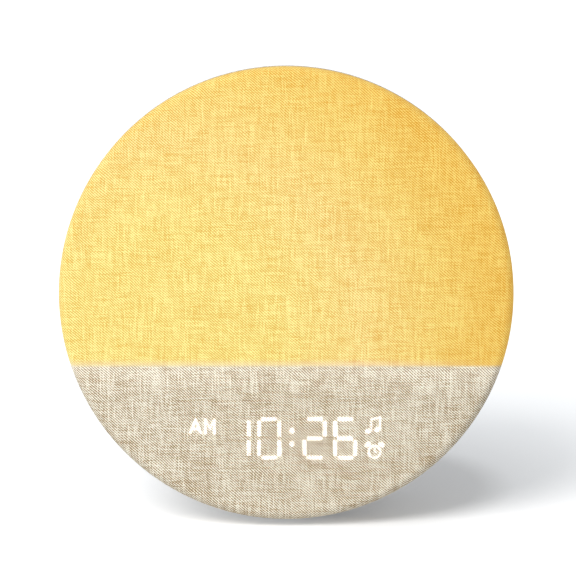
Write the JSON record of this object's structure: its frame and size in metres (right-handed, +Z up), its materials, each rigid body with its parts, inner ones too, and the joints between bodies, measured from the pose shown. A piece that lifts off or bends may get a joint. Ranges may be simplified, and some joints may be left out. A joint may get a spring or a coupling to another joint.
{
  "type": "sunrise alarm clock",
  "caption": "Round bedside sunrise alarm clock: cloth-covered glowing face with a digital display, tapered rear housing, small foot, snooze bar, rear keys and loudspeaker.",
  "frame": {"origin": "on the table, under the middle of the clock's outline", "axes": "+Z up; +Y from the face to the back, level; +X to the right as one looks at the face"},
  "size_m": [0.18, 0.0739, 0.1809],
  "materials": {
    "linen": "plain-weave linen, undyed",
    "diffuser": "milky",
    "frame_white": "moulded, satin",
    "pan_white": "moulded, reflective white",
    "circuit_board": "green solder mask",
    "lamp": "clear moulded package",
    "display_black": "moulded, black",
    "display_segment": "milky light guide",
    "connector_black": "moulded, black",
    "chip_black": "moulded epoxy",
    "cell_steel": "nickel plated",
    "inlet_steel": "drawn shell",
    "housing_white": "fine moulded texture",
    "screw_steel": "zinc plated",
    "pad_rubber": "soft, matt",
    "key_plastic": "moulded, satin",
    "ribbon": "flat cable",
    "basket_steel": "pressed steel",
    "magnet_black": "coated ferrite",
    "cone_paper": "pressed paper",
    "surround_rubber": "soft rubber"
  },
  "bodies": {
    "clock": {"fabric_cover": "linen", "light_diffuser": "diffuser", "front_frame": "frame_white", "light_pan": "pan_white", "lamp_board": "circuit_board", "lamps": "lamp", "display_block": "display_black", "display_segments": "display_segment", "display_board": "circuit_board", "board_links": "connector_black", "main_board": "circuit_board", "board_chips": "chip_black", "cell_holder": "connector_black", "backup_cell": "cell_steel", "power_board": "circuit_board", "power_inlet": "inlet_steel", "inlet_tongue": "connector_black", "rear_housing": "housing_white", "housing_screws": "screw_steel", "foot_pad": "pad_rubber", "key_switches": "connector_black", "key_board_right": "circuit_board", "key_board_left": "circuit_board", "snooze_switch": "connector_black", "snooze_board": "circuit_board", "snooze_ribbon": "ribbon", "speaker_basket": "basket_steel", "speaker_magnet": "magnet_black", "speaker_surround": "surround_rubber", "speaker_lead": "ribbon"},
    "snooze_bar": {"snooze_bar": "key_plastic"},
    "speaker_cone": {"speaker_cone": "cone_paper"},
    "key_light": {"key_light": "key_plastic"},
    "key_sound": {"key_sound": "key_plastic"},
    "key_volume_up": {"key_volume_up": "key_plastic"},
    "key_alarm": {"key_alarm": "key_plastic"},
    "key_clock": {"key_clock": "key_plastic"},
    "key_volume_down": {"key_volume_down": "key_plastic"}
  },
  "joints": [
    {"name": "snooze_press", "type": "slide", "parent": "clock", "child": "snooze_bar", "axis": [0, -0.1392, -0.9903], "range_m": [0, 0.001], "stiffness_N_per_m": 900, "springref_m": -0.0015},
    {"name": "light_press", "type": "slide", "parent": "clock", "child": "key_light", "axis": [0, -0.9903, 0.1392], "range_m": [0, 0.0008], "stiffness_N_per_m": 900, "springref_m": -0.001},
    {"name": "sound_press", "type": "slide", "parent": "clock", "child": "key_sound", "axis": [0, -0.9903, 0.1392], "range_m": [0, 0.0008], "stiffness_N_per_m": 900, "springref_m": -0.001},
    {"name": "volume_up_press", "type": "slide", "parent": "clock", "child": "key_volume_up", "axis": [0, -0.9903, 0.1392], "range_m": [0, 0.0008], "stiffness_N_per_m": 900, "springref_m": -0.001},
    {"name": "alarm_press", "type": "slide", "parent": "clock", "child": "key_alarm", "axis": [0, -0.9903, 0.1392], "range_m": [0, 0.0008], "stiffness_N_per_m": 900, "springref_m": -0.001},
    {"name": "clock_press", "type": "slide", "parent": "clock", "child": "key_clock", "axis": [0, -0.9903, 0.1392], "range_m": [0, 0.0008], "stiffness_N_per_m": 900, "springref_m": -0.001},
    {"name": "volume_down_press", "type": "slide", "parent": "clock", "child": "key_volume_down", "axis": [0, -0.9903, 0.1392], "range_m": [0, 0.0008], "stiffness_N_per_m": 900, "springref_m": -0.001},
    {"name": "cone_stroke", "type": "slide", "parent": "clock", "child": "speaker_cone", "axis": [0, 0.9903, -0.1392], "range_m": [-0.0008, 0.0008], "stiffness_N_per_m": 1500, "deforming": ["speaker_surround"]}
  ]
}
